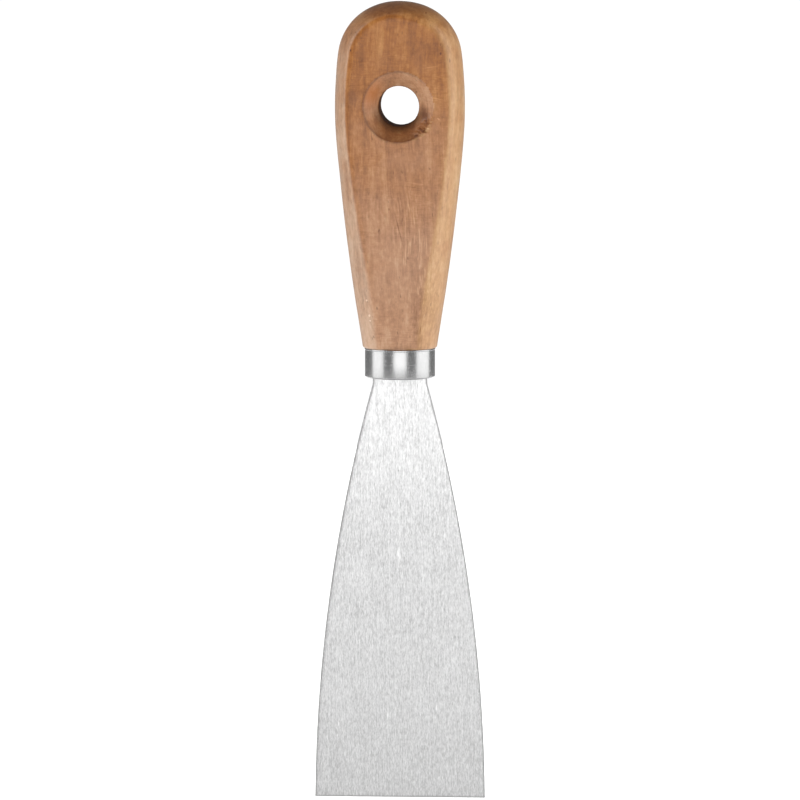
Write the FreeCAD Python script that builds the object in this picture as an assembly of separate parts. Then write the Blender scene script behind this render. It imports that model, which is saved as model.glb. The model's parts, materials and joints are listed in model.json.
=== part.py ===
"""Flexible putty knife: a wooden handle, a drawn steel ferrule and a ground spring-steel blade.

Frame, in millimetres: the origin is the centre of the hang hole, +Z runs along the knife
towards the crown of the handle, the blade points down -Z, X runs across the blade's width and
Y through its thickness. The knife hangs from its hole in this pose.

The blade and its tang are one stamping on the real knife. Here they are two solids that part
inside the ferrule's slot, on the line that the blade flexes about, so that the blade can turn.
"""

import FreeCAD, Part
import math
import os

from FreeCAD import Vector

# Handle: a turned grip with two sanded flats. The turned profile is a chain of tangent arcs
# that leaves the crown square to the axis. Each has a radius and the heading it ends on, in
# degrees down from straight out. The last one ends where it reaches the ferrule.
CROWN_Z = 30.4
GRIP_END_Z = -70.5
CROWN_ARC = (20.2, 24.3)
SHOULDER_ARC = (16.8, 83.2)
WAIST_ARC = (130.0, 95.1)
TAIL_ARC_R = 750.0
GRIP_END_ROUND = 0.6
FLAT_Y = 11.5  # half the thickness across the flats
FLAT_END_Y = 9.3  # the same where they meet the ferrule
FLAT_BEND_Z = -40.0  # the flats are parallel above this height and draw in below it
CREASE_R = 1.5  # rounding between a flat and the turned sides
REACH = 25.0  # more than the grip's radius, for cutting tools

# Hang hole, countersunk at 90 degrees from both faces.
HOLE_R = 5.9
COUNTERSINK_R = 10.3

# Ferrule: a drawn cup with a slot in its closed end and a small flare at its mouth.
FERRULE_R = 10.2
FERRULE_WALL = 0.8
FERRULE_LENGTH = 8.7
FERRULE_CORNER_R = 1.2  # outer corner at the closed end
FLARE_OUT = 0.25  # how far the mouth stands proud
FLARE_LENGTH = 0.7
SLOT_WIDTH = 16.5
SLOT_HEIGHT = 1.5

# Blade: a flared blank, ground thinner towards its edge.
EDGE_WIDTH = 50.0
EDGE_Z = -203.5
EDGE_THICKNESS = 0.5
NECK_WIDTH = 15.9
ROOT_THICKNESS = 1.0
FLARE_R = 475.0  # radius of the blade's two flared sides
PARALLEL_PAST_EDGE = 3.9  # the sides would be parallel this far past the edge

# Tang: shouldered, barbed, and glued into a slot in the handle's tenon.
HINGE_GAP = 0.1  # running gap between the tang's end and the blade's round end
TANG_HALF_WIDTH = 5.5
BARB_DEPTH = 0.7
BARB_PITCH = 6.0
BARBS = 6
POINT_LENGTH = 5.0
POINT_HALF_WIDTH = 2.5
TENON_GAP = 1.2  # air between the tenon's end and the ferrule's closed end
TENON_CHAMFER = 0.6
GLUE_THICKNESS = 0.3  # on each flat side of the tang
GLUE_EDGE = 0.7  # past each edge of the tang
GLUE_END = 1.5  # past the tang's point

# Heights that follow from those.
FERRULE_END_Z = GRIP_END_Z - FERRULE_LENGTH
FERRULE_FLOOR_Z = FERRULE_END_Z + FERRULE_WALL
HINGE_Z = FERRULE_END_Z + FERRULE_WALL / 2
BLADE_ROOT_Z = HINGE_Z + ROOT_THICKNESS / 2
TENON_R = FERRULE_R - FERRULE_WALL
TENON_END_Z = FERRULE_FLOOR_Z + TENON_GAP
TANG_FOOT_Z = BLADE_ROOT_Z + HINGE_GAP
TANG_POINT_Z = TENON_END_Z + BARBS * BARB_PITCH + POINT_LENGTH

ORIGIN = Vector(0, 0, 0)
X_AXIS = Vector(1, 0, 0)
Y_AXIS = Vector(0, 1, 0)
Z_AXIS = Vector(0, 0, 1)


def rz(radius, height):
    """A point of a turned profile, in the XZ plane."""
    return Vector(radius, 0, height)


def yz(y, height):
    """A point of a lengthwise section, in the YZ plane."""
    return Vector(0, y, height)


def path(points):
    """Straight edges through the points, in order."""
    return [Part.makeLine(a, b) for a, b in zip(points, points[1:])]


def arc(start, middle, end):
    """A circular edge through three points."""
    return Part.Arc(start, middle, end).toShape()


def face(edges):
    """A flat face inside a closed loop of edges."""
    return Part.Face(Part.Wire(Part.__sortEdges__(edges)))


def turned(edges):
    """A solid of revolution about Z."""
    return face(edges).revolve(ORIGIN, Z_AXIS, 360)


def extruded(edges, along, length):
    """A prism that reaches half its length to each side of the edges' plane."""
    prism = face(edges).extrude(along * length)
    prism.translate(along * (-length / 2))
    return prism


def block(half_x, half_y, low_z, high_z):
    """A box centred on the Z axis."""
    corner = Vector(-half_x, -half_y, low_z)
    return Part.makeBox(2 * half_x, 2 * half_y, high_z - low_z, corner)


def turned_grip():
    """The grip as it comes off the lathe: four tangent arcs from the crown to the ferrule."""
    start = rz(0, CROWN_Z)
    heading = 0.0
    edges = []
    for radius, end_heading in (CROWN_ARC, SHOULDER_ARC, WAIST_ARC, (TAIL_ARC_R, None)):

        def at(angle):
            return centre + rz(radius * math.sin(angle), radius * math.cos(angle))

        centre = start - rz(radius * math.sin(heading), radius * math.cos(heading))
        if end_heading is None:
            end_angle = math.acos((GRIP_END_Z - centre.z) / radius)
        else:
            end_angle = math.radians(end_heading)
        end = at(end_angle)
        edges.append(arc(start, at((heading + end_angle) / 2), end))
        start, heading = end, end_angle
    return turned(edges + path([start, rz(0, GRIP_END_Z), rz(0, CROWN_Z)]))


def between_flats():
    """What the sander leaves: a slab with parallel faces that draw in towards the ferrule."""
    top_z = CROWN_Z + 1
    draw_in = FLAT_Y - FLAT_END_Y
    run = FLAT_BEND_Z - GRIP_END_Z
    radius = (run**2 + draw_in**2) / (2 * draw_in)
    middle_y = FLAT_Y - radius + math.sqrt(radius**2 - (run / 2) ** 2)
    middle_z = FLAT_BEND_Z - run / 2
    edges = path([yz(-FLAT_Y, top_z), yz(FLAT_Y, top_z)])
    edges += path([yz(-FLAT_END_Y, GRIP_END_Z), yz(FLAT_END_Y, GRIP_END_Z)])
    for side in (-1, 1):
        bend = yz(side * FLAT_Y, FLAT_BEND_Z)
        edges += path([yz(side * FLAT_Y, top_z), bend])
        edges.append(arc(bend, yz(side * middle_y, middle_z), yz(side * FLAT_END_Y, GRIP_END_Z)))
    return extruded(edges, X_AXIS, 2 * REACH)


def is_crease(edge):
    """True for the edges where a flat meets the turned sides of the grip."""
    box = edge.BoundBox
    return min(abs(box.YMin), abs(box.YMax)) > FLAT_END_Y - 0.1 and box.ZLength > 1


def is_end_rim(edge):
    """True for the outline of the grip's last face."""
    return abs(edge.BoundBox.ZMax - GRIP_END_Z) < 0.01


def hang_hole():
    """The tool that cuts the hang hole and both its countersinks."""
    drill = Part.makeCylinder(HOLE_R, 2 * REACH, Vector(0, -REACH, 0), Y_AXIS)
    depth = COUNTERSINK_R - HOLE_R
    for side in (-1, 1):
        seat = yz(side * (FLAT_Y - depth), 0)
        cone = Part.makeCone(HOLE_R, COUNTERSINK_R + 1, depth + 1, seat, Y_AXIS * side)
        drill = drill.fuse(cone)
    return drill


def tenon():
    """The round peg under the grip that the ferrule is driven onto."""
    outline = [
        rz(0, GRIP_END_Z + 1),
        rz(TENON_R, GRIP_END_Z + 1),
        rz(TENON_R, TENON_END_Z + TENON_CHAMFER),
        rz(TENON_R - TENON_CHAMFER, TENON_END_Z),
        rz(0, TENON_END_Z),
    ]
    return turned(path(outline + outline[:1]))


def tang_slot():
    """The slot sawn into the end of the tenon, which the glue fills around the tang."""
    return block(
        TANG_HALF_WIDTH + GLUE_EDGE,
        ROOT_THICKNESS / 2 + GLUE_THICKNESS,
        TENON_END_Z,
        TANG_POINT_Z + GLUE_END,
    )


def make_handle():
    """Turned, flatted, its creases sanded round, then drilled and slotted."""
    grip = turned_grip().common(between_flats())
    grip = grip.makeFillet(CREASE_R, [e for e in grip.Edges if is_crease(e)])
    grip = grip.makeFillet(GRIP_END_ROUND, [e for e in grip.Edges if is_end_rim(e)])
    return grip.fuse(tenon()).cut(hang_hole()).cut(tang_slot())


def quarter_round(centre, radius):
    """An edge that turns from the side of a cup to its closed end about a point of the profile."""
    half = radius * math.sqrt(0.5)
    return arc(centre + rz(radius, 0), centre + rz(half, -half), centre + rz(0, -radius))


def make_ferrule():
    """The drawn cup, with its slot pierced through the closed end."""
    flare_r = FERRULE_R + FLARE_OUT
    inner_corner_r = FERRULE_CORNER_R - FERRULE_WALL
    corner_centre = rz(FERRULE_R - FERRULE_CORNER_R, FERRULE_END_Z + FERRULE_CORNER_R)
    outside = [
        rz(TENON_R, GRIP_END_Z),
        rz(flare_r, GRIP_END_Z),
        rz(flare_r, GRIP_END_Z - FLARE_LENGTH / 2),
        rz(FERRULE_R, GRIP_END_Z - FLARE_LENGTH),
        rz(FERRULE_R, corner_centre.z),
    ]
    floor = [
        rz(corner_centre.x, FERRULE_END_Z),
        rz(0, FERRULE_END_Z),
        rz(0, FERRULE_FLOOR_Z),
        rz(corner_centre.x, FERRULE_FLOOR_Z),
    ]
    edges = path(outside) + path(floor) + path([rz(TENON_R, corner_centre.z), outside[0]])
    edges.append(quarter_round(corner_centre, FERRULE_CORNER_R))
    edges.append(quarter_round(corner_centre, inner_corner_r))
    slot = block(SLOT_WIDTH / 2, SLOT_HEIGHT / 2, FERRULE_END_Z - 1, FERRULE_FLOOR_Z + 1)
    return turned(edges).cut(slot)


def blade_outline():
    """The flared blank, seen square on: a short parallel neck, then two long arcs."""
    half_edge = EDGE_WIDTH / 2
    half_neck = NECK_WIDTH / 2
    centre_x = half_edge - math.sqrt(FLARE_R**2 - PARALLEL_PAST_EDGE**2)
    centre_z = EDGE_Z - PARALLEL_PAST_EDGE
    neck_z = centre_z + math.sqrt(FLARE_R**2 - (half_neck - centre_x) ** 2)
    middle_z = (neck_z + EDGE_Z) / 2
    middle_x = centre_x + math.sqrt(FLARE_R**2 - (middle_z - centre_z) ** 2)
    edges = path([rz(-half_neck, BLADE_ROOT_Z), rz(half_neck, BLADE_ROOT_Z)])
    edges += path([rz(-half_edge, EDGE_Z), rz(half_edge, EDGE_Z)])
    for side in (-1, 1):
        neck = rz(side * half_neck, neck_z)
        edges += path([rz(side * half_neck, BLADE_ROOT_Z), neck])
        edges.append(arc(neck, rz(side * middle_x, middle_z), rz(side * half_edge, EDGE_Z)))
    return edges


def blade_section():
    """The ground taper, seen edge on: a round root on the hinge line, thinning to the edge."""
    half_root = ROOT_THICKNESS / 2
    half_tip = EDGE_THICKNESS / 2
    edges = path(
        [
            yz(-half_root, HINGE_Z),
            yz(-half_root, FERRULE_END_Z),
            yz(-half_tip, EDGE_Z),
            yz(half_tip, EDGE_Z),
            yz(half_root, FERRULE_END_Z),
            yz(half_root, HINGE_Z),
        ]
    )
    return edges + [arc(yz(-half_root, HINGE_Z), yz(0, BLADE_ROOT_Z), yz(half_root, HINGE_Z))]


def make_blade():
    """The blank ground to its taper."""
    blank = extruded(blade_outline(), Y_AXIS, 2 * ROOT_THICKNESS)
    return blank.common(extruded(blade_section(), X_AXIS, 2 * EDGE_WIDTH))


def make_tang():
    """Shoulders under the tenon, barbs whose ledges resist pulling out, and a blunt point."""
    half_neck = NECK_WIDTH / 2
    right = [rz(half_neck, TANG_FOOT_Z), rz(half_neck, TENON_END_Z)]
    for barb in range(BARBS):
        ledge_z = TENON_END_Z + barb * BARB_PITCH
        right.append(rz(TANG_HALF_WIDTH, ledge_z))
        right.append(rz(TANG_HALF_WIDTH - BARB_DEPTH, ledge_z + BARB_PITCH))
    right.append(rz(POINT_HALF_WIDTH, TANG_POINT_Z))
    left = [rz(-point.x, point.z) for point in reversed(right)]
    return extruded(path(right + left + right[:1]), Y_AXIS, ROOT_THICKNESS)


def main():
    tang = make_tang()
    nodes = {
        "handle": make_handle(),
        "ferrule": make_ferrule(),
        "blade": make_blade(),
        "blade_tang": tang,
        "tang_adhesive": tang_slot().cut(tang),
    }
    os.makedirs("parts", exist_ok=True)
    for name, shape in nodes.items():
        print(f"{name}: valid {shape.isValid()}, solids {len(shape.Solids)}, mm3 {shape.Volume:.2f}")
        shape.exportStep(f"parts/{name}.step")


main()
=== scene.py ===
import json
import math

import bmesh
import bpy
import numpy as np
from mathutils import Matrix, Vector, noise


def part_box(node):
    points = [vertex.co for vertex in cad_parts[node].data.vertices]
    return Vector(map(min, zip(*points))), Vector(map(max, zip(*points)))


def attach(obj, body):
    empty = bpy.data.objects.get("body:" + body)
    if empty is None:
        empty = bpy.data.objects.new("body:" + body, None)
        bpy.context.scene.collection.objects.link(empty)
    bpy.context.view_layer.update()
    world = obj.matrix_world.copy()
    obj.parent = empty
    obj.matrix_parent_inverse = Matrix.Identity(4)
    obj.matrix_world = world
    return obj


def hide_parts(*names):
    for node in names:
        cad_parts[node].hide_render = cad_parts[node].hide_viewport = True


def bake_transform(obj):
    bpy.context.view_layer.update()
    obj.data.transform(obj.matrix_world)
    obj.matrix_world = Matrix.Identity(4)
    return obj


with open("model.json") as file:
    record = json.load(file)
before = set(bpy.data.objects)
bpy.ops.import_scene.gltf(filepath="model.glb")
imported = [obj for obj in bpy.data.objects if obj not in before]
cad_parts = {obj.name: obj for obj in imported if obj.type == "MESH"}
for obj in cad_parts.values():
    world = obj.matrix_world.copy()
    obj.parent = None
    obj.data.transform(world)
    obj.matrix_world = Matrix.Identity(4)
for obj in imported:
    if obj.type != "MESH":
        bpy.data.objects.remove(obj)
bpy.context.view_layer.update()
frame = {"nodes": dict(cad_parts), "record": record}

# A millimetre in the scene's metres.
MM = 0.001
handle_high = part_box("handle")[1]
ferrule_low, ferrule_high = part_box("ferrule")
blade_low, blade_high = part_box("blade")
hang_hole = next(m for m in frame["record"]["mounts"] if m["name"] == "hang_hole")

# Places and sizes in millimetres, from the frame.
GRIP_END_Z = ferrule_high.z / MM
FERRULE_END_Z = ferrule_low.z / MM
EDGE_Z = blade_low.z / MM
EDGE_HALF_WIDTH = blade_high.x / MM
BLADE_ROOT_Z = blade_high.z / MM
ROOT_THICKNESS = (blade_high.y - blade_low.y) / MM
FLAT_Y = handle_high.y / MM
HOLE_R = hang_hole["dims"]["r_mm"]
BORE_HALF_LENGTH = hang_hole["dims"]["length_mm"] / 2
# The countersink is cut at 45 degrees.
COUNTERSINK_R = HOLE_R + FLAT_Y - BORE_HALF_LENGTH

# Sizes in millimetres that the frame's boxes don't say.
EDGE_THICKNESS = 0.5
BEVEL_LENGTH = 3.0
BEVEL_DEPTH = 0.07
NECK_HALF_WIDTH = 7.95
FLARE_R = 475.0
PARALLEL_PAST_EDGE = 3.9
FERRULE_R = 10.2
FERRULE_WALL = 0.8
FERRULE_CORNER_R = 1.0
FERRULE_CORNER_HEIGHT = 0.5
SLOT_HALF_WIDTH = 8.25
SLOT_HALF_HEIGHT = 0.75
SLOT_HALF_DEPTH = 1.5
FLAT_CROWN_R = 260.0

# How finely the new meshes are divided, with the voxel in millimetres, and how many times the
# handle's creases are sanded.
HANDLE_VOXEL = 0.40
SANDING_ROUNDS = 54
FERRULE_SEGMENTS = 192
BLADE_ROWS = 150
BLADE_COLUMNS = 36

# The camera: a long lens, a little above the ferrule and to the right.
VIEW_AZIMUTH = math.radians(3.0)
VIEW_ELEVATION = math.radians(6.0)
VIEW_DISTANCE = 1.5
VIEW_TARGET = Vector((0, 0, -0.086))
LENS = 231.2

# The studio, in metres.
FLOOR_Z = -1.7
CARD_BELOW_EDGE = 0.06


def srgb(red, green, blue):
    """A 0 to 255 screen colour as linear light, with alpha."""

    def linear(channel):
        share = channel / 255
        return share / 12.92 if share <= 0.04045 else ((share + 0.055) / 1.055) ** 2.4

    return (linear(red), linear(green), linear(blue), 1.0)


def grey(level):
    """A neutral colour in linear light, with alpha."""
    return (level, level, level, 1.0)


def smoothstep(low, high, value):
    """0 below low, 1 above high, and smooth between."""
    share = np.clip((value - low) / (high - low), 0, 1)
    return share * share * (3 - 2 * share)


def add_object(name, data):
    """A new object in the scene for a mesh, a light or a camera."""
    piece = bpy.data.objects.new(name, data)
    bpy.context.scene.collection.objects.link(piece)
    return piece


def apply_modifiers(piece):
    """Replaces the piece's mesh by the one its modifiers make."""
    graph = bpy.context.evaluated_depsgraph_get()
    result = bpy.data.meshes.new_from_object(piece.evaluated_get(graph))
    piece.modifiers.clear()
    piece.data = result


def vertex_arrays(mesh):
    """The mesh's points, in millimetres, and its normals."""
    points = np.empty(len(mesh.vertices) * 3, np.float32)
    normals = np.empty(len(mesh.vertices) * 3, np.float32)
    mesh.vertices.foreach_get("co", points)
    mesh.vertices.foreach_get("normal", normals)
    return points.reshape(-1, 3).astype(float) / MM, normals.reshape(-1, 3).astype(float)


def set_points(mesh, points):
    """Moves the mesh's points to these places, in millimetres."""
    mesh.vertices.foreach_set("co", (points * MM).astype(np.float32).ravel())
    mesh.update()


def add_mask(mesh, name, values):
    """Stores one number from 0 to 1 per point, for a material to read."""
    attribute = mesh.attributes.new(name, "FLOAT", "POINT")
    attribute.data.foreach_set("value", values.astype(np.float32))


def noise_at(points, wavelength, seed):
    """Smooth noise from about -1 to 1 at each point, with that wavelength in millimetres."""
    offset = Vector((seed * 17.3, seed * 5.1, seed * 9.7))
    return np.array([noise.noise(Vector(p / wavelength) + offset) for p in points])


class Shader:
    """A material being built: each method adds a node and returns its output."""

    def __init__(self, name):
        self.material = bpy.data.materials.new(name)
        self.material.use_nodes = True
        self.tree = self.material.node_tree
        self.tree.nodes.clear()
        self.output = self.tree.nodes.new("ShaderNodeOutputMaterial")
        self.surface = self.tree.nodes.new("ShaderNodeBsdfPrincipled")
        self.tree.links.new(self.surface.outputs["BSDF"], self.output.inputs["Surface"])

    def feed(self, socket, value):
        """Links an output to a socket, or sets a plain value on it. None leaves it as it is."""
        if isinstance(value, bpy.types.NodeSocket):
            self.tree.links.new(value, socket)
        elif value is not None:
            socket.default_value = value

    def set(self, **sockets):
        """Sets or links sockets of the surface shader, named with _ for spaces."""
        for name, value in sockets.items():
            self.feed(self.surface.inputs[name.replace("_", " ")], value)

    def millimetres(self, attribute=None):
        """The place on the object in millimetres, from its own axes or a stored attribute."""
        if attribute:
            source = self.tree.nodes.new("ShaderNodeAttribute")
            source.attribute_name = attribute
            place = source.outputs["Vector"]
        else:
            place = self.tree.nodes.new("ShaderNodeTexCoord").outputs["Object"]
        return self.stretch(place, (1 / MM, 1 / MM, 1 / MM))

    def mask(self, name):
        """A number stored on the mesh's points."""
        source = self.tree.nodes.new("ShaderNodeAttribute")
        source.attribute_name = name
        return source.outputs["Fac"]

    def stretch(self, vector, factors):
        """The vector times one factor along each axis."""
        node = self.tree.nodes.new("ShaderNodeVectorMath")
        node.operation = "MULTIPLY"
        self.feed(node.inputs[0], vector)
        node.inputs[1].default_value = factors
        return node.outputs["Vector"]

    def shift(self, vector, amount):
        """The vector plus another one."""
        node = self.tree.nodes.new("ShaderNodeVectorMath")
        node.operation = "ADD"
        self.feed(node.inputs[0], vector)
        self.feed(node.inputs[1], amount)
        return node.outputs["Vector"]

    def axes(self, vector):
        """The vector's X, Y and Z."""
        node = self.tree.nodes.new("ShaderNodeSeparateXYZ")
        self.feed(node.inputs[0], vector)
        return node.outputs["X"], node.outputs["Y"], node.outputs["Z"]

    def math(self, operation, first, second=None, third=None):
        """One arithmetic step."""
        node = self.tree.nodes.new("ShaderNodeMath")
        node.operation = operation
        for socket, value in zip(node.inputs, (first, second, third)):
            self.feed(socket, value)
        return node.outputs[0]

    def noise(self, vector, scale=1.0, detail=2.0, roughness=0.5, distortion=0.0):
        """Noise from 0 to 1."""
        node = self.tree.nodes.new("ShaderNodeTexNoise")
        self.feed(node.inputs["Vector"], vector)
        node.inputs["Scale"].default_value = scale
        node.inputs["Detail"].default_value = detail
        node.inputs["Roughness"].default_value = roughness
        node.inputs["Distortion"].default_value = distortion
        return node.outputs["Fac"]

    def noise_vector(self, vector):
        """Three noises from -0.5 to 0.5, as a vector."""
        node = self.tree.nodes.new("ShaderNodeTexNoise")
        self.feed(node.inputs["Vector"], vector)
        node.inputs["Scale"].default_value = 1.0
        node.inputs["Detail"].default_value = 2.0
        return self.shift(node.outputs["Color"], (-0.5, -0.5, -0.5))

    def total(self, base, *shares):
        """The base plus each (weight, noise) pair's weight times its noise about its middle."""
        result = base
        for weight, value in shares:
            centred = self.math("SUBTRACT", value, 0.5)
            result = self.math("MULTIPLY_ADD", centred, weight, result)
        return result

    def spot(self, place, centre, half_size, lean=0.0):
        """1 at the centre of an ellipse seen from the front, 0 outside it. Lean is in degrees."""
        node = self.tree.nodes.new("ShaderNodeMapping")
        node.vector_type = "TEXTURE"
        self.feed(node.inputs["Vector"], place)
        node.inputs["Location"].default_value = (centre[0], 0.0, centre[1])
        node.inputs["Rotation"].default_value = (0.0, math.radians(lean), 0.0)
        endless = 1e6
        node.inputs["Scale"].default_value = (half_size[0], endless, half_size[1])
        length = self.tree.nodes.new("ShaderNodeVectorMath")
        length.operation = "LENGTH"
        self.feed(length.inputs[0], node.outputs["Vector"])
        return self.remap(length.outputs["Value"], 0.0, 1.0, 1.0, 0.0)

    def remap(self, value, low, high, to_low=0.0, to_high=1.0):
        """The value's stretch from low to high, smoothly mapped and clamped."""
        node = self.tree.nodes.new("ShaderNodeMapRange")
        node.interpolation_type = "SMOOTHSTEP"
        for socket, number in zip(node.inputs, (value, low, high, to_low, to_high)):
            self.feed(socket, number)
        return node.outputs["Result"]

    def ramp(self, value, stops):
        """A colour for the value, from (place, colour) stops."""
        node = self.tree.nodes.new("ShaderNodeValToRGB")
        elements = node.color_ramp.elements
        while len(elements) < len(stops):
            elements.new(0.5)
        for element, (place, colour) in zip(elements, stops):
            element.position = place
            element.color = colour
        self.feed(node.inputs["Fac"], value)
        return node.outputs["Color"]

    def mix(self, share, first, second):
        """Two colours mixed by share."""
        node = self.tree.nodes.new("ShaderNodeMix")
        node.data_type = "RGBA"
        self.feed(node.inputs[0], share)
        self.feed(node.inputs[6], first)
        self.feed(node.inputs[7], second)
        return node.outputs[2]

    def tint(self, colour, where, amount, other):
        """The colour, taken the amount of the way to another one where the mask is 1."""
        return self.mix(self.math("MULTIPLY", where, amount), colour, other)

    def marked(self, tone, place, marks):
        """The tone with the marks on it, on the front only."""
        front = self.math("LESS_THAN", self.axes(place)[1], 0.0)
        for centre, half_size, lean, change in marks:
            mark = self.math("MULTIPLY", self.spot(place, centre, half_size, lean), front)
            tone = self.math("MULTIPLY_ADD", mark, change, tone)
        return tone

    def bump(self, height, distance):
        """A normal that the height, in units of distance metres, has roughened."""
        node = self.tree.nodes.new("ShaderNodeBump")
        node.inputs["Strength"].default_value = 1.0
        node.inputs["Distance"].default_value = distance
        self.feed(node.inputs["Height"], height)
        return node.outputs["Normal"]


# Marks on the wood's front, most in the wood itself and four of them painted highlights: where in X
# and Z, half sizes, lean in degrees, and how much lighter.
WOOD_MARKS = (
    ((-4.8, 19.0), (2.4, 12.0), 0, 0.10),
    ((-13.8, 5.0), (2.2, 14.0), 0, -0.12),
    ((4.8, 18.0), (3.5, 10.0), 0, -0.08),
    ((10.0, 16.5), (5.0, 6.0), 0, -0.14),
    ((7.2, 24.0), (5.0, 3.5), 0, 0.05),
    ((0.3, -35.5), (0.28, 6.5), -14.5, -0.30),
    ((6.4, -64.5), (0.25, 1.8), 8, -0.45),
    ((-13.7, 16.3), (0.35, 0.5), 0, -0.60),
    ((12.3, 15.4), (0.35, 0.6), 0, -0.60),
    ((7.9, 27.0), (0.4, 0.5), 0, -0.50),
    ((-5.5, -35.7), (0.4, 0.9), 20, -0.35),
    ((-2.6, -29.5), (0.4, 0.6), 0, -0.30),
    ((11.7, -3.4), (0.9, 0.35), 35, 0.35),
    ((-1.0, -44.0), (2.6, 9.0), -10, 0.05),
    # Painted highlights: a pale band of sheen low on the left facet, and three glints on it.
    ((-8.3, -62.0), (2.2, 9.0), 4, 0.10),
    ((-9.2, -56.1), (0.35, 0.45), 0, 0.9),
    ((-8.4, -60.5), (0.4, 0.5), 0, 1.0),
    ((-8.2, -62.0), (0.35, 0.4), 0, 0.8),
    ((10.3, 25.2), (5.0, 3.4), -30, 0.24),
    ((-10.0, 25.6), (5.5, 3.4), 30, 0.14),
    ((9.5, -60.0), (3.2, 12.0), 8, -0.10),
    ((11.0, 2.5), (3.2, 0.28), 12, 0.22),
    ((9.5, 11.5), (3.6, 0.25), -8, 0.20),
    ((12.0, 8.6), (1.8, 0.30), 15, 0.18),
    ((7.8, -2.4), (2.2, 4.0), -12, -0.42),
    ((7.2, -6.9), (2.0, 0.6), 20, -0.60),
    ((5.2, -8.2), (1.0, 0.5), -30, -0.45),
    ((8.3, -6.1), (1.2, 0.4), 15, 0.45),
    ((6.3, -7.9), (0.9, 0.35), -25, 0.40),
    ((-7.8, 6.5), (1.8, 3.2), 35, -0.10),
    ((5.0, -22.0), (4.5, 0.30), 8, 0.16),
    ((4.0, -23.1), (4.5, 0.25), 8, -0.12),
)


def cross_ripples(shader, place):
    """Fine ripple across the grain, from the sanding belt, stronger in some patches than others."""
    ripples = shader.noise(shader.stretch(place, (0.32, 0.32, 2.0)), detail=3.0, distortion=0.8)
    patches = shader.noise(place, scale=0.13, detail=2.0)
    strength = shader.remap(patches, 0.38, 0.62, 0.15, 1.0)
    on_flat = shader.remap(shader.mask("turned"), 0.0, 1.0, 1.0, 0.15)
    strength = shader.math("MULTIPLY", strength, on_flat)
    return shader.math("MULTIPLY_ADD", shader.math("SUBTRACT", ripples, 0.5), strength, 0.5)


def wood_tone(shader, place, bent):
    """How light the wood is, about 0.5: broad bands, growth figure, fibres, ripples and marks."""
    bands = shader.noise(shader.stretch(bent, (0.17, 0.13, 0.008)), detail=1.0)
    figure = shader.noise(shader.stretch(bent, (0.55, 0.5, 0.045)), detail=4.0, roughness=0.6)
    fibres = shader.noise(shader.stretch(bent, (2.2, 2.2, 0.25)), detail=2.0)
    specks = shader.noise(shader.stretch(place, (0.8, 0.8, 0.6)), detail=4.0, roughness=0.65)
    clouds = shader.noise(place, scale=0.10, detail=2.0)
    shares = ((0.5, bands), (0.6, figure), (0.28, fibres), (0.50, specks), (0.22, clouds))
    tone = shader.total(0.5, *shares, (0.34, cross_ripples(shader, place)))
    scuffs = shader.noise(shader.stretch(bent, (2.4, 2.4, 0.16)), detail=2.0)
    scuffed = shader.spot(place, (4.5, -42.0), (10.0, 34.0), -8)
    scuffed = shader.math("MULTIPLY", scuffed, shader.remap(scuffs, 0.52, 0.70))
    tone = shader.math("MULTIPLY_ADD", scuffed, 0.30, tone)
    return shader.marked(tone, place, WOOD_MARKS)


def wood_pores(shader, bent):
    """1 in the small dark pores, 0 between them."""
    pores = shader.noise(shader.stretch(bent, (1.5, 1.5, 0.35)), detail=1.0)
    return shader.remap(pores, 0.70, 0.80)


def wood_ramp(shader, tone, dark, middle, light):
    """One colouring of the wood, from its dark fibres to its light ones."""
    return shader.ramp(tone, [(0.1, srgb(*dark)), (0.5, srgb(*middle)), (0.9, srgb(*light))])


def countersink_colour(shader, place, colour, pale):
    """Paler towards the top of the countersink, which faces down: painted light; darker at its foot,
    which faces up: painted shade on the end grain there; and warmer on its left.
    """
    cut = shader.mask("countersink")
    height = shader.axes(place)[2]
    # Painted light on the upper cone and painted shade at its foot.
    lit_from_below = shader.math("MULTIPLY", cut, shader.remap(height, -6.5, 1.0))
    shaded_foot = shader.math("MULTIPLY", cut, shader.remap(height, -3.0, -7.5))
    warmed = shader.math("MULTIPLY", cut, shader.spot(place, (-7.6, 3.6), (4.2, 7.0), 28))
    colour = shader.tint(colour, lit_from_below, 0.8, pale)
    colour = shader.tint(colour, shaded_foot, 0.38, srgb(112, 64, 34))
    return shader.tint(colour, warmed, 0.7, srgb(196, 118, 56))


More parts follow.
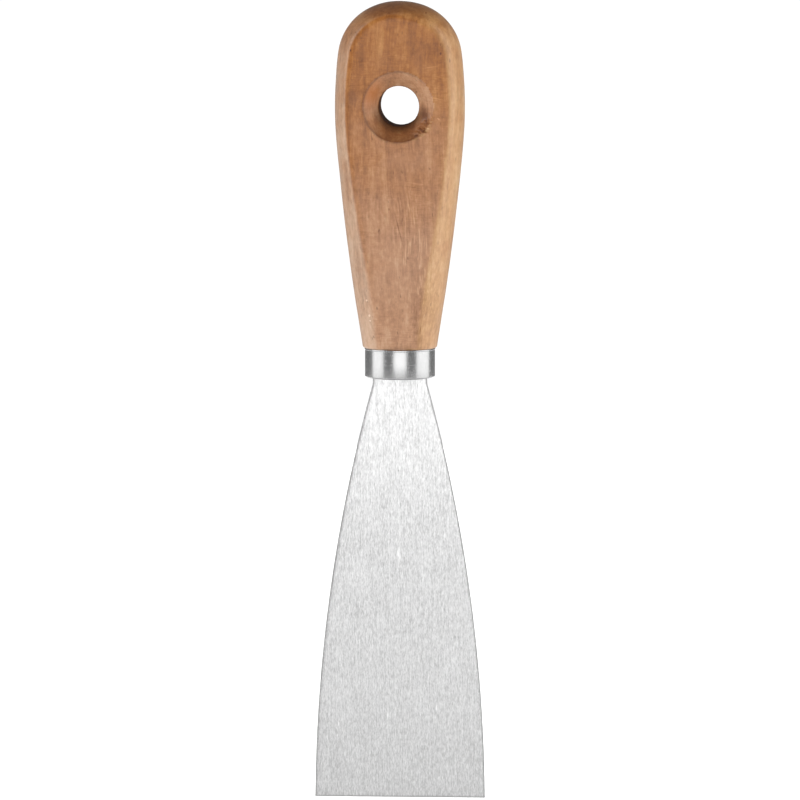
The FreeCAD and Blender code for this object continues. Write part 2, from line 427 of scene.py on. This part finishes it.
def wood_colour(shader, place, tone, pores):
    """Reddish brown on the flats and paler below; on the turned sides paler pinkish copies on the
    left and yellower ones on the right: painted side light, with the sapwood's yellower tone on the
    right.
    """
    x, _, z = shader.axes(place)
    warm = wood_ramp(shader, tone, (104, 54, 15), (175, 108, 46), (219, 157, 88))
    pale = wood_ramp(shader, tone, (146, 100, 72), (200, 151, 116), (230, 194, 162))
    # Paler copies of the wood for the turned sides: painted side light, and on the right also the
    # sapwood's yellower tone.
    pink_side_lit = wood_ramp(shader, tone, (150, 112, 86), (206, 170, 141), (234, 206, 180))
    yellow_side_lit = wood_ramp(shader, tone, (166, 118, 72), (211, 165, 118), (238, 204, 158))
    drift = shader.noise(place, scale=0.07, detail=2.0)
    height = shader.total(z, (55.0, drift))
    colour = shader.mix(shader.remap(height, 20.0, -70.0), warm, pale)
    side = shader.mix(shader.remap(x, -3.0, 3.0), pink_side_lit, yellow_side_lit)
    crown = shader.remap(shader.total(z, (14.0, drift)), 12.0, 27.0, 1.0, 0.25)
    turned = shader.math("MULTIPLY", shader.mask("turned"), crown)
    fading = shader.remap(shader.noise(place, scale=0.16, detail=3.0), 0.3, 0.7, 0.55, 0.95)
    # The tint on the turned sides is painted side light, weaker towards the crown.
    colour = shader.tint(colour, turned, fading, side)
    colour = countersink_colour(shader, place, colour, pale)
    # Painted shade: the wood round the lower edge of the hole taken almost to black.
    colour = shader.tint(colour, shader.mask("hole_foot_shade"), 0.72, srgb(50, 30, 20))
    colour = shader.tint(colour, shader.mask("rim_line"), 0.5, srgb(96, 54, 28))
    colour = shader.tint(colour, shader.mask("end_grain"), 0.42, srgb(104, 52, 18))
    return shader.tint(colour, pores, 0.45, srgb(84, 46, 26))


def wood_material():
    """Satin-lacquered wood, with end grain, sanding ripple and a bare bore."""
    shader = Shader("lacquered_wood")
    place = shader.millimetres()
    wander = shader.noise_vector(shader.stretch(place, (0.035, 0.035, 0.016)))
    bent = shader.shift(place, shader.stretch(wander, (9.0, 9.0, 0.0)))
    tone = wood_tone(shader, place, bent)
    pores = wood_pores(shader, bent)
    bore = shader.mask("bore")
    smudges = shader.noise(place, scale=0.3, detail=3.0)
    colour = wood_colour(shader, place, tone, pores)
    shader.set(
        # Darker in the bore: painted shade in the hole. Its bare wood is also rougher and barely
        # coated.
        Base_Color=shader.tint(colour, bore, 0.6, srgb(96, 58, 34)),
        Roughness=shader.math("MAXIMUM", shader.remap(smudges, 0.3, 0.7, 0.36, 0.50), bore),
        Specular_IOR_Level=0.3,
        Coat_Weight=shader.remap(bore, 0.0, 1.0, 0.35, 0.05),
        Coat_Roughness=0.22,
    )
    fibres = shader.noise(shader.stretch(bent, (4.0, 4.0, 0.4)), detail=2.0)
    height = shader.total(0.5, (0.8, cross_ripples(shader, place)), (0.4, fibres), (-0.5, pores))
    shader.set(Normal=shader.bump(height, 0.00012))
    return shader.material


def ferrule_material():
    """Satin drawn steel, brushed round the cup, with a painted shadow line at its closed end."""
    shader = Shader("ferrule_steel")
    place = shader.millimetres()
    rings = shader.noise(shader.stretch(place, (0.25, 0.25, 7.0)), detail=3.0)
    mottle = shader.noise(shader.stretch(place, (2.2, 2.2, 0.4)), detail=2.0)
    value = shader.total(0.5, (0.5, rings), (0.5, mottle))
    scratch = shader.spot(place, (3.8, -74.9), (1.6, 0.14), 3)
    shade = shader.mix(shader.remap(value, 0.2, 0.8), grey(0.49), grey(0.57))
    height = shader.axes(place)[2]
    # Painted shadow: nearly black just above the cup's closed end, for the shade in the gap at the
    # blade.
    gap_shadow = shader.remap(height, FERRULE_END_Z + 0.14, FERRULE_END_Z + 0.30, 0.9, 0.0)
    shade = shader.mix(gap_shadow, shade, grey(0.05))
    shader.set(
        Base_Color=shader.mix(scratch, shade, grey(0.85)),
        Metallic=1.0,
        Roughness=shader.remap(value, 0.2, 0.8, 0.21, 0.29),
        Normal=shader.bump(value, 0.000012),
    )
    return shader.material


# Marks on the blade's front: where in X and Z, half sizes, lean in degrees, and how much lighter.
BLADE_MARKS = (
    ((-18.1, -181.9), (0.25, 1.2), 2, 0.9),
    ((-3.6, -179.3), (0.28, 1.3), -1, 1.0),
    ((10.7, -176.8), (0.28, 1.3), -2, 1.0),
    ((-18.4, -185.3), (0.3, 0.9), 0, 0.45),
    ((-3.8, -182.4), (0.3, 1.0), 10, 0.5),
    ((10.4, -179.7), (0.3, 0.9), 0, 0.4),
    ((-0.4, -106.7), (0.28, 0.4), 0, -1.0),
    ((-0.4, -131.5), (0.9, 3.2), 0, 0.35),
    ((13.2, -125.6), (0.5, 1.6), 0, 0.35),
)


def blade_tone(shader, place):
    """How light the ground steel is, about 0.5: short dashes, long scratches, clouds and marks."""
    dashes = shader.noise(shader.stretch(place, (2.8, 0.5, 0.60)), detail=2.0, roughness=0.55)
    fine = shader.noise(shader.stretch(place, (5.5, 0.5, 1.5)), detail=1.0)
    scratches = shader.noise(shader.stretch(place, (2.0, 0.5, 0.07)), detail=2.0)
    clouds = shader.noise(place, scale=0.12, detail=3.0, roughness=0.6)
    tone = shader.total(0.5, (1.25, dashes), (0.8, fine), (0.45, scratches), (0.22, clouds))
    return shader.marked(tone, place, BLADE_MARKS)


def blade_material():
    """Ground spring steel, with the grinding marks running lengthwise; lighter at the neck and
    darker near the edge, a painted reflection.
    """
    shader = Shader("blade_steel")
    place = shader.millimetres("rest")
    height = shader.axes(place)[2]
    tone = blade_tone(shader, place)
    tone = shader.math("MULTIPLY_ADD", shader.mask("rim"), -0.60, tone)
    # Painted reflection: the steel lighter towards the neck and darker towards the edge.
    tone = shader.math("ADD", tone, shader.remap(height, -138.0, -76.0, -0.08, 0.10))
    tone = shader.math("ADD", tone, shader.remap(height, -200.0, -168.0, -0.09, 0.0))
    shader.set(
        Base_Color=shader.ramp(tone, [(0.0, grey(0.47)), (0.5, grey(0.715)), (1.0, grey(0.92))]),
        Metallic=1.0,
        Roughness=shader.remap(tone, 0.2, 0.8, 0.40, 0.30),
        Normal=shader.bump(tone, 0.000012),
    )
    return shader.material


def plain_material(name, colour, metallic, roughness):
    """A finish for a piece hidden in the handle, with a little variation."""
    shader = Shader(name)
    grain = shader.noise(shader.millimetres(), scale=0.8, detail=4.0)
    darker = tuple(0.8 * channel for channel in colour[:3]) + (1.0,)
    shader.set(
        Base_Color=shader.mix(grain, darker, colour),
        Metallic=metallic,
        Roughness=shader.remap(grain, 0.3, 0.7, roughness - 0.08, roughness + 0.08),
        Normal=shader.bump(grain, 0.00003),
    )
    return shader.material


def remesh_on_cad(name, node_name, voxel):
    """An even, fine mesh that lies on a CAD node's surface, with the voxel in millimetres."""
    source = frame["nodes"][node_name]
    piece = add_object(name, source.data.copy())
    remesh = piece.modifiers.new("remesh", "REMESH")
    remesh.mode = "VOXEL"
    remesh.voxel_size = voxel * MM
    remesh.use_smooth_shade = True
    wrap = piece.modifiers.new("wrap", "SHRINKWRAP")
    wrap.wrap_method = "NEAREST_SURFACEPOINT"
    wrap.target = source
    apply_modifiers(piece)
    return piece


def soften(mesh, points, share, rounds):
    """Rounds creases: in each round a point moves its share of the way to its neighbours' middle."""
    edges = np.empty(len(mesh.edges) * 2, np.int32)
    mesh.edges.foreach_get("vertices", edges)
    first, second = edges.reshape(-1, 2).T
    both = np.concatenate([first, second])
    others = np.concatenate([second, first])
    count = np.bincount(both, minlength=len(points))
    for _ in range(rounds):
        middle = [np.bincount(both, points[others, axis], len(points)) / count for axis in range(3)]
        points = points + share[:, None] * (np.column_stack(middle) - points)
    return points


def torn_rim(x, y, z, reach):
    """How deep, in millimetres, the drill tore the wood at the front rim's lower right."""
    angle, spread = -38, 20
    radius, width = COUNTERSINK_R - 0.6, 1.3
    deepest = 1.5
    along = (np.degrees(np.arctan2(z, x)) - angle) / spread
    where = np.exp(-(along**2) - ((reach - radius) / width) ** 2)
    fibres = noise_at(np.column_stack([x * 1.4, y * 0, z * 2.2]), wavelength=1.6, seed=11)
    return where * (y < 0) * np.clip(fibres + 0.25, 0, 1) * deepest


def work_wood(mesh, reach, in_hole):
    """Crowns the flats, makes the outside slightly uneven, rounds creases and tears the rim."""
    points, normals = vertex_arrays(mesh)
    x, y, z = points.T.copy()
    outside = smoothstep(GRIP_END_Z, GRIP_END_Z + 1.5, z) * ~in_hole
    facing = smoothstep(0.55, 0.95, np.abs(normals[:, 1]))
    points[:, 1] -= np.sign(y) * facing * outside * x**2 / (2 * FLAT_CROWN_R)
    unevenness = 0.09 * noise_at(points, wavelength=13.0, seed=3)
    unevenness += 0.035 * noise_at(points, wavelength=4.5, seed=4)
    points -= normals * ((0.05 + np.abs(unevenness)) * outside)[:, None]
    clear_of_hole = smoothstep(COUNTERSINK_R + 0.3, COUNTERSINK_R + 2.0, reach)
    sanded = 0.5 * outside * clear_of_hole * (0.45 + 0.55 * smoothstep(-3, 3, x))
    points = soften(mesh, points, sanded, SANDING_ROUNDS)
    points[:, 1] += torn_rim(x, y, z, reach)
    set_points(mesh, points)


def mask_wood(mesh, places, reach, in_hole):
    """Stores where the wood is end grain, turned (where its side light is painted), in painted shade
    at the foot of the hole, countersunk or bored.
    """
    x, y, z = places.T
    from_middle = np.abs(y)
    normals = vertex_arrays(mesh)[1]
    facing = np.abs(normals[:, 1])
    right = smoothstep(-3, 3, x)
    # The turned sides, where side light is painted; on the right the mask reaches in onto the
    # rounded crease, a painted crease highlight.
    turned = smoothstep(0.970 + 0.027 * right, 0.72 + 0.21 * right, facing)
    # Painted shade at the hole's lower edge, where the bore's wall is in shade.
    painted_low_shade = smoothstep(1.5, -4.5, z) * smoothstep(HOLE_R + 2.6, HOLE_R + 0.1, reach)
    near_rim = np.exp(-(((reach - COUNTERSINK_R + 0.15) / 0.3) ** 2)) * (from_middle > FLAT_Y - 1.2)
    bore_end, flare_start = BORE_HALF_LENGTH - 0.2, BORE_HALF_LENGTH + 0.3
    add_mask(mesh, "end_grain", smoothstep(0.50, 0.95, normals[:, 2]) * smoothstep(14, 22, z))
    add_mask(mesh, "turned", turned * ~in_hole)
    add_mask(mesh, "hole_foot_shade", in_hole * painted_low_shade)
    add_mask(mesh, "rim_line", near_rim * smoothstep(9.0, 3.0, x))
    add_mask(mesh, "countersink", in_hole * smoothstep(bore_end, flare_start, from_middle))
    add_mask(mesh, "bore", in_hole * smoothstep(flare_start, bore_end, from_middle))


def make_handle():
    """The wooden handle: the CAD shape, then worked as turning, sanding and drilling leave it."""
    piece = remesh_on_cad("wood_handle", "handle", HANDLE_VOXEL)
    mesh = piece.data
    places = vertex_arrays(mesh)[0]
    reach = np.hypot(places[:, 0], places[:, 2])
    in_hole = (reach < COUNTERSINK_R - 0.05) & (np.abs(places[:, 1]) < FLAT_Y - 0.05)
    work_wood(mesh, reach, in_hole)
    shade_smooth_by_angle(mesh, 30)
    mask_wood(mesh, places, reach, in_hole)
    mesh.materials.clear()
    mesh.materials.append(wood_material())
    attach(piece, "handle_body")
    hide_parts("handle")


def bridge(build, first, second):
    """Faces between two closed loops that have as many points."""
    count = len(first)
    for i in range(count):
        j = (i + 1) % count
        build.faces.new((first[i], first[j], second[j], second[i]))


def lathe(name, profile, segments):
    """A closed mesh turned about Z from a loop of (radius, height) points in millimetres."""
    mesh = bpy.data.meshes.new(name)
    build = bmesh.new()
    rings = []
    for step in range(segments):
        angle = 2 * math.pi * step / segments
        direction = Vector((math.cos(angle), math.sin(angle), 0))
        rings.append([build.verts.new((direction * r + Vector((0, 0, h))) * MM) for r, h in profile])
    for step in range(segments):
        bridge(build, rings[step], rings[(step + 1) % segments])
    bmesh.ops.remove_doubles(build, verts=build.verts, dist=0.001 * MM)
    bmesh.ops.recalc_face_normals(build, faces=build.faces)
    build.to_mesh(mesh)
    build.free()
    return mesh


def arc_points(centre, radius, start, end, steps):
    """Points on an arc of a turned profile; angles in degrees, 0 straight out and -90 down."""
    angles = [math.radians(start + (end - start) * i / steps) for i in range(steps + 1)]
    return [(centre[0] + radius * math.cos(a), centre[1] + radius * math.sin(a)) for a in angles]


def ferrule_profile():
    """The cup's section, from the lip down the outside and up the inside, as (radius, height)."""
    floor_z = FERRULE_END_Z + FERRULE_WALL
    corner_x, corner_z = FERRULE_R - FERRULE_CORNER_R, FERRULE_END_Z + FERRULE_CORNER_R
    inner_r = FERRULE_R - FERRULE_WALL
    lip_r, lip_roll_r = FERRULE_R + 0.10, 0.26
    groove_r = FERRULE_R - 0.07
    lip_end, groove_top, groove_foot, wall_top = (GRIP_END_Z - h for h in (0.45, 0.62, 0.72, 0.95))
    profile = [(inner_r + 0.10, GRIP_END_Z)]
    profile += arc_points((lip_r - lip_roll_r, GRIP_END_Z - lip_roll_r), lip_roll_r, 90, 0, 8)
    profile += [(lip_r, lip_end), (groove_r, groove_top), (groove_r, groove_foot)]
    profile += [(FERRULE_R, wall_top), (FERRULE_R, corner_z + 2.0)]
    squat = FERRULE_CORNER_HEIGHT / FERRULE_CORNER_R
    for r, h in arc_points((corner_x, corner_z), FERRULE_CORNER_R, 0, -90, 12):
        profile.append((r, FERRULE_END_Z + (h - FERRULE_END_Z) * squat))
    profile += [(0.0, FERRULE_END_Z), (0.0, floor_z), (corner_x, floor_z)]
    profile += [(inner_r, corner_z), (inner_r, GRIP_END_Z - 0.2)]
    return profile


def cut_slot(piece):
    """Cuts the blade's slot through the cup's closed end."""
    mesh = bpy.data.meshes.new("slot_cutter")
    build = bmesh.new()
    bmesh.ops.create_cube(build, size=2.0)
    half_size = np.array((SLOT_HALF_WIDTH, SLOT_HALF_HEIGHT, SLOT_HALF_DEPTH))
    for vertex in build.verts:
        vertex.co = Vector(half_size * vertex.co) * MM
        vertex.co.z += FERRULE_END_Z * MM
    build.to_mesh(mesh)
    build.free()
    cutter = add_object("slot_cutter", mesh)
    cut = piece.modifiers.new("slot", "BOOLEAN")
    cut.operation = "DIFFERENCE"
    cut.object = cutter
    apply_modifiers(piece)
    bpy.data.objects.remove(cutter)
    merge_slivers(piece.data)


def make_ferrule():
    """The drawn cup: a rolled lip, a plain wall, a rounded corner and a slot in the closed end."""
    mesh = lathe("steel_ferrule", ferrule_profile(), FERRULE_SEGMENTS)
    piece = add_object("steel_ferrule", mesh)
    cut_slot(piece)
    shade_smooth_by_angle(piece.data, 40)
    piece.data.materials.clear()
    piece.data.materials.append(ferrule_material())
    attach(piece, "handle_body")
    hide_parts("ferrule")


def merge_slivers(mesh):
    """Removes what the cut left: doubled points and faces with no area."""
    build = bmesh.new()
    build.from_mesh(mesh)
    smallest = 0.004 * MM
    bmesh.ops.remove_doubles(build, verts=build.verts, dist=smallest)
    bmesh.ops.dissolve_degenerate(build, edges=build.edges, dist=smallest)
    bmesh.ops.triangulate(build, faces=[face for face in build.faces if len(face.verts) > 4])
    build.to_mesh(mesh)
    build.free()


def shade_smooth_by_angle(mesh, degrees):
    """Smooth shading, with edges sharper than the angle left sharp."""
    mesh.polygons.foreach_set("use_smooth", [True] * len(mesh.polygons))
    build = bmesh.new()
    build.from_mesh(mesh)
    limit = math.radians(degrees)
    for edge in build.edges:
        edge.smooth = len(edge.link_faces) == 2 and edge.calc_face_angle(0) < limit
    build.to_mesh(mesh)
    build.free()


def blade_half_width(z):
    """Half the blade's width at a height: a long arc on each side, then the parallel neck."""
    centre_x = EDGE_HALF_WIDTH - math.sqrt(FLARE_R**2 - PARALLEL_PAST_EDGE**2)
    centre_z = EDGE_Z - PARALLEL_PAST_EDGE
    return max(NECK_HALF_WIDTH, centre_x + math.sqrt(FLARE_R**2 - (z - centre_z) ** 2))


def blade_half_thickness(z):
    """Half the blade's thickness at a height: ground to a taper, then a fine bevel at the edge."""
    share = min(1.0, (z - EDGE_Z) / (FERRULE_END_Z - EDGE_Z))
    half = (EDGE_THICKNESS + (ROOT_THICKNESS - EDGE_THICKNESS) * share) / 2
    bevel = max(0.0, 1 - (z - EDGE_Z) / BEVEL_LENGTH)
    return half - BEVEL_DEPTH * bevel**2


# The rolled side edges: distance in from the side, and how much each face drops there.
SIDE_ROLL = (
    (0.0, 0.27),
    (0.08, 0.178),
    (0.18, 0.125),
    (0.35, 0.08),
    (0.6, 0.04),
    (0.9, 0.014),
    (1.3, 0.0),
    (2.0, 0.0),
)


def blade_heights():
    """The heights of the blade's rows, from its rounded root to its edge."""
    root_half = ROOT_THICKNESS / 2
    turns = [math.radians(a) for a in (12, 30, 50, 70, 90)]
    heights = [BLADE_ROOT_Z - root_half * (1 - math.cos(turn)) for turn in turns]
    start_z = heights[-1] - 0.3
    heights += [start_z + (EDGE_Z + 1.0 - start_z) * i / BLADE_ROWS for i in range(BLADE_ROWS + 1)]
    heights += [EDGE_Z + above for above in (0.7, 0.45, 0.25, 0.12, 0.03, 0.0)]
    return heights


def blade_section(z):
    """The blade's section at a height, right to left, as (x, half the thickness there)."""
    half_width = blade_half_width(z)
    root_half = ROOT_THICKNESS / 2
    above_hinge = max(0.0, z - (BLADE_ROOT_Z - root_half))
    half = min(blade_half_thickness(z), math.sqrt(max(root_half**2 - above_hinge**2, 0.0001)))
    round_height, round_depth = 0.2, 0.12
    if z < EDGE_Z + round_height:
        half -= round_depth * (1 - (z - EDGE_Z) / round_height) ** 2
    inner = half_width - SIDE_ROLL[-1][0]
    right = [(half_width - inset, drop) for inset, drop in SIDE_ROLL]
    middle = [(inner - 2 * inner * i / BLADE_COLUMNS, 0.0) for i in range(1, BLADE_COLUMNS)]
    left = [(-x, drop) for x, drop in reversed(right)]
    return [(x, max(0.15 * half, half - drop)) for x, drop in right + middle + left]


def blade_mesh():
    """One closed skin: a loop of points at each height, each bridged to the next, and two caps."""
    mesh = bpy.data.meshes.new("steel_blade")
    build = bmesh.new()
    loops = []
    for z in blade_heights():
        section = blade_section(z)
        front = [build.verts.new(Vector((x, -depth, z)) * MM) for x, depth in section]
        back = [build.verts.new(Vector((x, depth, z)) * MM) for x, depth in section]
        loops.append(front + back[::-1])
    for upper, lower in zip(loops, loops[1:]):
        bridge(build, upper, lower)
    for loop in (loops[0], loops[-1]):
        for i in range(len(loop) // 2 - 1):
            far = len(loop) - 1 - i
            build.faces.new((loop[i], loop[i + 1], loop[far - 1], loop[far]))
    bmesh.ops.recalc_face_normals(build, faces=build.faces)
    build.to_mesh(mesh)
    build.free()
    return mesh


def mask_blade(mesh):
    """Stores each point's place at rest, and where the side edges and the working edge are."""
    rest = mesh.attributes.new("rest", "FLOAT_VECTOR", "POINT")
    points = np.empty(len(mesh.vertices) * 3, np.float32)
    mesh.vertices.foreach_get("co", points)
    rest.data.foreach_set("vector", points)
    x, _, z = points.reshape(-1, 3).T / MM
    side = np.array([blade_half_width(height) for height in z]) - np.abs(x)
    add_mask(mesh, "rim", np.maximum(smoothstep(0.5, 0.05, side), smoothstep(0.7, 0.1, z - EDGE_Z)))


def make_blade():
    """The blade: one skin with rolled side edges, a ground taper and a fine bevel."""
    mesh = blade_mesh()
    shade_smooth_by_angle(mesh, 50)
    mask_blade(mesh)
    mesh.materials.append(blade_material())
    piece = add_object("steel_blade", mesh)
    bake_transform(piece)
    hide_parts("blade")


def finish_hidden_nodes():
    """The tang and its adhesive, inside the handle, keep their CAD shape and get real finishes."""
    finishes = {
        "blade_tang": plain_material("tang_steel", (0.45, 0.44, 0.42, 1.0), 1.0, 0.5),
        "tang_adhesive": plain_material("cured_epoxy", srgb(205, 182, 130), 0.0, 0.45),
    }
    for name, material in finishes.items():
        node = frame["nodes"][name]
        node.data.materials.clear()
        node.data.materials.append(material)


def towards(azimuth, elevation):
    """The direction at these angles, in radians: 0 is in front of the knife, pi/2 on its right."""
    flat = math.cos(elevation)
    return Vector((math.sin(azimuth) * flat, -math.cos(azimuth) * flat, math.sin(elevation)))


def aim(thing, direction, distance):
    """Puts a camera or a light that far from the target, facing it."""
    thing.location = VIEW_TARGET + direction * distance
    thing.rotation_mode = "QUATERNION"
    thing.rotation_quaternion = (-direction).to_track_quat("-Z", "Y")


def make_camera():
    """The camera, with a long lens so that the knife is seen almost without perspective."""
    data = bpy.data.cameras.new("camera")
    data.lens = LENS
    data.sensor_width = 36.0
    data.clip_start = 0.05
    data.clip_end = 50.0
    camera = add_object("camera", data)
    aim(camera, towards(VIEW_AZIMUTH, VIEW_ELEVATION), VIEW_DISTANCE)
    bpy.context.scene.camera = camera


def softbox(name, azimuth, elevation, distance, width, height, radiance, reflected=True):
    """A rectangular light that faces the knife. Azimuth 0 is in front of it and 90 on its right."""
    data = bpy.data.lights.new(name, "AREA")
    data.shape = "RECTANGLE"
    data.size = width
    data.size_y = height
    data.energy = radiance * math.pi * width * height
    light = add_object(name, data)
    aim(light, towards(math.radians(azimuth), math.radians(elevation)), distance)
    light.visible_camera = False
    light.visible_glossy = reflected


def make_disc(name, radius, level):
    """A horizontal grey disc under the knife. It belongs to the studio, not to the object."""
    mesh = bpy.data.meshes.new(name)
    build = bmesh.new()
    bmesh.ops.create_circle(build, cap_ends=True, radius=radius, segments=96)
    build.to_mesh(mesh)
    build.free()
    disc = add_object(name, mesh)
    shader = Shader(name + "_matt")
    shader.set(Base_Color=grey(level), Roughness=0.9)
    mesh.materials.append(shader.material)
    return disc


def light_only(disc, name, kind, energy, location):
    """A light that falls on one disc and on nothing else."""
    data = bpy.data.lights.new(name, kind)
    data.energy = energy
    light = add_object(name, data)
    light.location = location
    light.visible_camera = False
    light.visible_glossy = False
    only = bpy.data.collections.new(name + "_receives")
    only.objects.link(disc)
    light.light_linking.receiver_collection = only
    light.light_linking.blocker_collection = only
    return data


def make_floor():
    """A wide pale floor that only the camera sees, and above it a card that the camera doesn't.

    The steel reflects the card.
    """
    floor = make_disc("studio_floor", radius=14.0, level=0.80)
    floor.location.z = FLOOR_Z
    floor.visible_glossy = False
    floor.visible_diffuse = False
    sun = light_only(floor, "floor_sun", "SUN", energy=6.5, location=(0, 0, 2))
    sun.angle = math.radians(80)

    card = make_disc("reflector_card", radius=0.95, level=0.70)
    card.location.z = EDGE_Z * MM - CARD_BELOW_EDGE
    card.visible_camera = False
    wash = light_only(card, "card_wash", "AREA", energy=15.0, location=(-0.04, 0.75, 0.55))
    wash.shape = "DISK"
    wash.size = 1.2


def make_world():
    """White behind the object, and in what it reflects a dim studio that is darker overhead."""
    level_height, overhead_height = 0.0, 0.7
    level_strength, overhead_strength = 0.27, 0.14
    backdrop_strength = 1.05
    world = bpy.data.worlds.new("studio")
    bpy.context.scene.world = world
    world.use_nodes = True
    nodes, links = world.node_tree.nodes, world.node_tree.links
    nodes.clear()
    output = nodes.new("ShaderNodeOutputWorld")
    mixer = nodes.new("ShaderNodeMixShader")
    seen = nodes.new("ShaderNodeLightPath")
    direction = nodes.new("ShaderNodeTexCoord")
    height = nodes.new("ShaderNodeSeparateXYZ")
    dimming = nodes.new("ShaderNodeMapRange")
    studio = nodes.new("ShaderNodeBackground")
    backdrop = nodes.new("ShaderNodeBackground")
    dimming.inputs["From Min"].default_value = level_height
    dimming.inputs["From Max"].default_value = overhead_height
    dimming.inputs["To Min"].default_value = level_strength
    dimming.inputs["To Max"].default_value = overhead_strength
    backdrop.inputs["Strength"].default_value = backdrop_strength
    for background in (studio, backdrop):
        background.inputs["Color"].default_value = grey(1.0)
    links.new(direction.outputs["Generated"], height.inputs[0])
    links.new(height.outputs["Z"], dimming.inputs["Value"])
    links.new(dimming.outputs["Result"], studio.inputs["Strength"])
    links.new(seen.outputs["Is Camera Ray"], mixer.inputs["Fac"])
    links.new(studio.outputs[0], mixer.inputs[1])
    links.new(backdrop.outputs[0], mixer.inputs[2])
    links.new(mixer.outputs[0], output.inputs["Surface"])
    bpy.context.scene.view_settings.view_transform = "Standard"


def make_lights():
    """Two tall side boxes and a front panel, with dark gaps between them for the steel to show.

    The two fills light the wood without being seen in the steel.
    """
    tall = {"elevation": 0, "distance": 0.9, "height": 2.2, "radiance": 1.5}
    softbox("left_box", azimuth=-76, width=0.74, **tall)
    softbox("right_box", azimuth=86, width=0.92, **tall)
    panel = {"distance": 1.2, "width": 0.93, "height": 0.62, "radiance": 1.80}
    softbox("front_panel", azimuth=3, elevation=6.0, **panel)
    fill = {"elevation": -6, "distance": 1.0, "width": 0.9, "height": 1.2, "radiance": 1.0}
    softbox("left_fill", azimuth=-66, reflected=False, **fill)
    softbox("right_fill", azimuth=66, reflected=False, **fill)


make_camera()
make_world()
make_lights()
make_floor()
make_handle()
make_ferrule()
make_blade()
finish_hidden_nodes()
